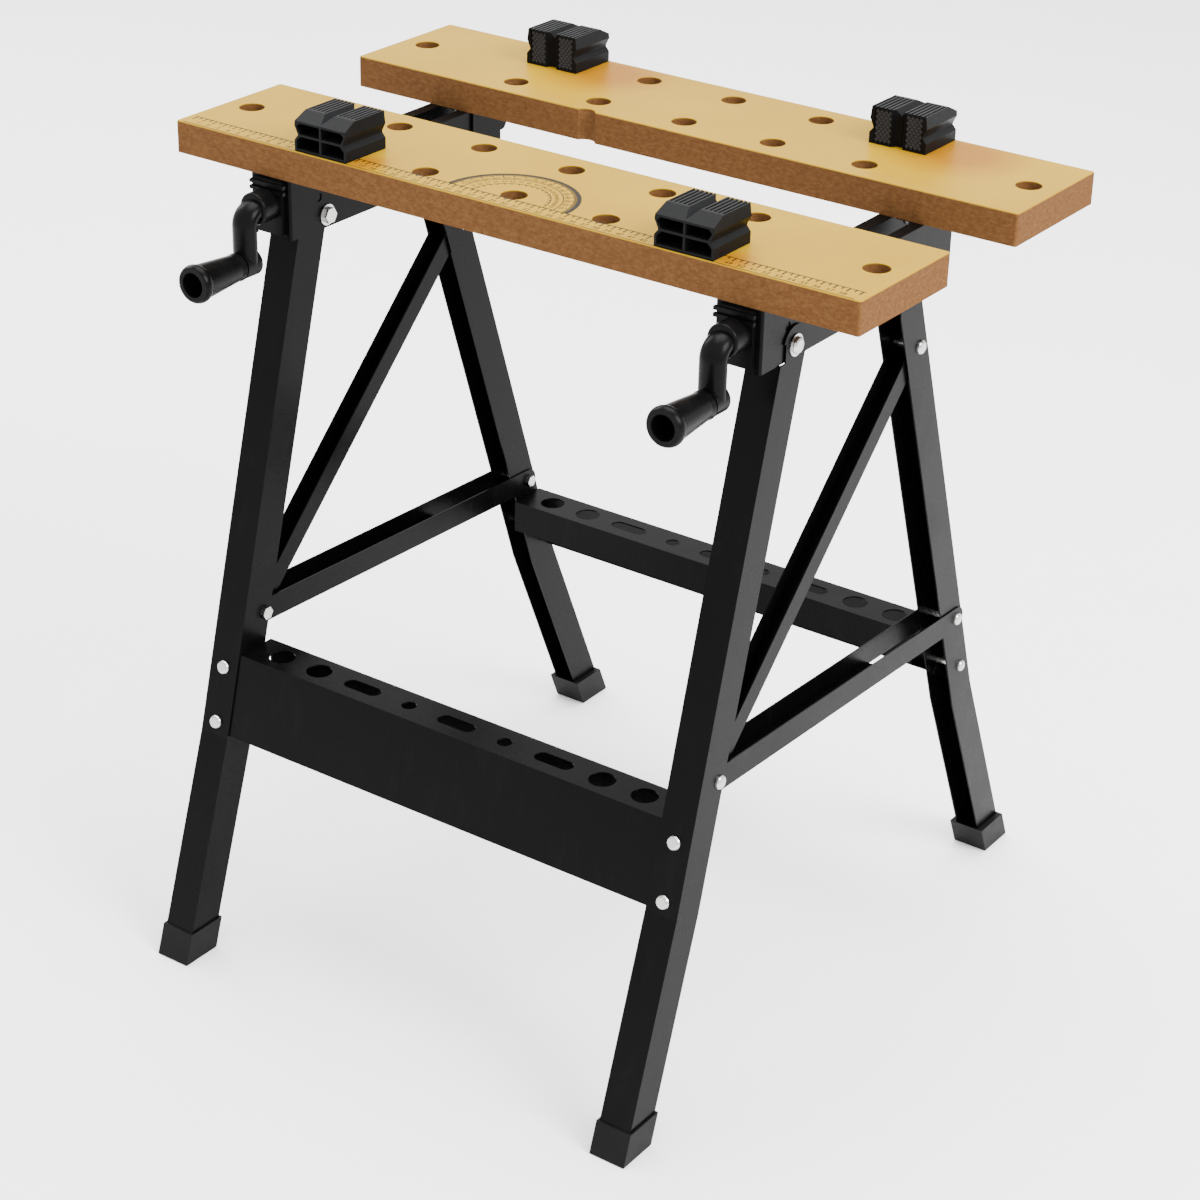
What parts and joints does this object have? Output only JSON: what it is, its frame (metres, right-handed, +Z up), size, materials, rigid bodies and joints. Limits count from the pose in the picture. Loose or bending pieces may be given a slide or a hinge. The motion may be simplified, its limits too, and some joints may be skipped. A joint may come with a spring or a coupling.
{
  "type": "folding clamping workbench",
  "caption": "Folding workbench: two wooden vise jaws with peg holes on screw-driven steel beams, over a hinged black steel trestle with tool rails.",
  "frame": {"origin": "on the floor, midway between the front and rear feet and between the two sides", "axes": "+X along the jaws to the user's right, +Y to the rear away from the cranks, +Z up"},
  "size_m": [0.605, 0.5874, 0.684],
  "materials": {
    "mdf": "smooth MDF",
    "black_steel": "black powder coat, satin",
    "zinc": "bright zinc plate",
    "screw_steel": "oiled steel",
    "black_plastic": "black moulded plastic, satin",
    "dog_plastic": "black moulded plastic, satin",
    "foot_plastic": "black soft plastic, matt"
  },
  "bodies": {
    "top": {"front_jaw": "mdf", "front_jaw_screws": "zinc", "left_vise_beam": "black_steel", "right_vise_beam": "black_steel", "left_bearing_block": "black_plastic", "right_bearing_block": "black_plastic", "front_pivot_bolts": "zinc", "rear_pivot_bolts": "zinc"},
    "front_legs": {"left_front_leg": "black_steel", "right_front_leg": "black_steel", "left_front_foot": "foot_plastic", "right_front_foot": "foot_plastic", "front_tool_rail": "black_steel", "front_rail_bolts": "zinc", "hook_bolts": "zinc"},
    "rear_legs": {"left_rear_leg": "black_steel", "right_rear_leg": "black_steel", "left_rear_foot": "foot_plastic", "right_rear_foot": "foot_plastic", "rear_tool_rail": "black_steel", "rear_rail_bolts": "zinc", "diagonal_bolts": "zinc", "brace_bolts": "zinc", "knee_bolts": "zinc"},
    "left_lower_brace_link": {"left_lower_brace": "black_steel"},
    "right_lower_brace_link": {"right_lower_brace": "black_steel"},
    "left_diagonal_link": {"left_diagonal_brace": "black_steel"},
    "right_diagonal_link": {"right_diagonal_brace": "black_steel"},
    "moving_jaw": {"rear_jaw": "mdf", "rear_jaw_screws": "zinc", "left_screw_nut": "black_plastic", "right_screw_nut": "black_plastic", "left_jaw_guide": "black_steel", "right_jaw_guide": "black_steel"},
    "left_spindle": {"left_vise_screw": "screw_steel", "left_screw_collar": "screw_steel", "left_crank": "black_plastic"},
    "right_spindle": {"right_vise_screw": "screw_steel", "right_screw_collar": "screw_steel", "right_crank": "black_plastic"},
    "left_grip": {"left_crank_grip": "black_plastic"},
    "right_grip": {"right_crank_grip": "black_plastic"},
    "dog_front_left": {"front_left_dog": "dog_plastic"},
    "dog_front_right": {"front_right_dog": "dog_plastic"},
    "dog_rear_left": {"rear_left_dog": "dog_plastic"},
    "dog_rear_right": {"rear_right_dog": "dog_plastic"}
  },
  "joints": [
    {"name": "front_leg_fold", "type": "hinge", "parent": "top", "child": "front_legs", "pos_m": [0, -0.111, 0.593], "axis": [1, 0, 0], "range_deg": [0, 80]},
    {"name": "rear_leg_fold", "type": "hinge", "parent": "top", "child": "rear_legs", "pos_m": [0, 0.048, 0.592], "axis": [1, 0, 0], "range_deg": [0, 56.53]},
    {"name": "left_lower_brace_fold", "type": "hinge", "parent": "rear_legs", "child": "left_lower_brace_link", "pos_m": [-0.216, 0.17, 0.264], "axis": [1, 0, 0], "range_deg": [0, 92.45]},
    {"name": "left_diagonal_fold", "type": "hinge", "parent": "rear_legs", "child": "left_diagonal_link", "pos_m": [-0.216, 0.075, 0.531], "axis": [1, 0, 0], "range_deg": [0, 60.05]},
    {"name": "right_lower_brace_fold", "type": "hinge", "parent": "rear_legs", "child": "right_lower_brace_link", "pos_m": [0.216, 0.17, 0.264], "axis": [1, 0, 0], "range_deg": [0, 92.45]},
    {"name": "right_diagonal_fold", "type": "hinge", "parent": "rear_legs", "child": "right_diagonal_link", "pos_m": [0.216, 0.075, 0.531], "axis": [1, 0, 0], "range_deg": [0, 60.05]},
    {"name": "jaw_slide", "type": "slide", "parent": "top", "child": "moving_jaw", "axis": [0, -1, 0], "range_m": [0, 0.0965]},
    {"name": "left_crank_turn", "type": "hinge", "parent": "top", "child": "left_spindle", "pos_m": [-0.2092, -0.1595, 0.61], "axis": [0, 1, 0], "range_deg": [0, 8686]},
    {"name": "left_grip_spin", "type": "hinge", "parent": "left_spindle", "child": "left_grip", "pos_m": [-0.2092, -0.21, 0.57], "axis": [0, 1, 0], "continuous": true},
    {"name": "right_crank_turn", "type": "hinge", "parent": "top", "child": "right_spindle", "pos_m": [0.2092, -0.1595, 0.61], "axis": [0, 1, 0], "range_deg": [0, 8686]},
    {"name": "right_grip_spin", "type": "hinge", "parent": "right_spindle", "child": "right_grip", "pos_m": [0.2092, -0.21, 0.57], "axis": [0, 1, 0], "continuous": true},
    {"name": "front_left_dog_turn", "type": "hinge", "parent": "top", "child": "dog_front_left", "pos_m": [-0.161, -0.128, 0.655], "axis": [0, 0, 1], "continuous": true},
    {"name": "front_right_dog_turn", "type": "hinge", "parent": "top", "child": "dog_front_right", "pos_m": [0.161, -0.128, 0.655], "axis": [0, 0, 1], "continuous": true},
    {"name": "rear_left_dog_turn", "type": "hinge", "parent": "moving_jaw", "child": "dog_rear_left", "pos_m": [-0.161, 0.159, 0.655], "axis": [0, 0, 1], "continuous": true},
    {"name": "rear_right_dog_turn", "type": "hinge", "parent": "moving_jaw", "child": "dog_rear_right", "pos_m": [0.161, 0.159, 0.655], "axis": [0, 0, 1], "continuous": true}
  ],
  "couplings": [
    {"joint": "rear_leg_fold", "follows": "front_leg_fold", "ratio": 0.706},
    {"joint": "left_lower_brace_fold", "follows": "front_leg_fold", "ratio": 1.155},
    {"joint": "left_diagonal_fold", "follows": "front_leg_fold", "ratio": 0.75},
    {"joint": "right_lower_brace_fold", "follows": "front_leg_fold", "ratio": 1.155},
    {"joint": "right_diagonal_fold", "follows": "front_leg_fold", "ratio": 0.75},
    {"joint": "left_crank_turn", "follows": "jaw_slide", "rad_per_m": 1570.8},
    {"joint": "right_crank_turn", "follows": "jaw_slide", "rad_per_m": 1570.8}
  ]
}
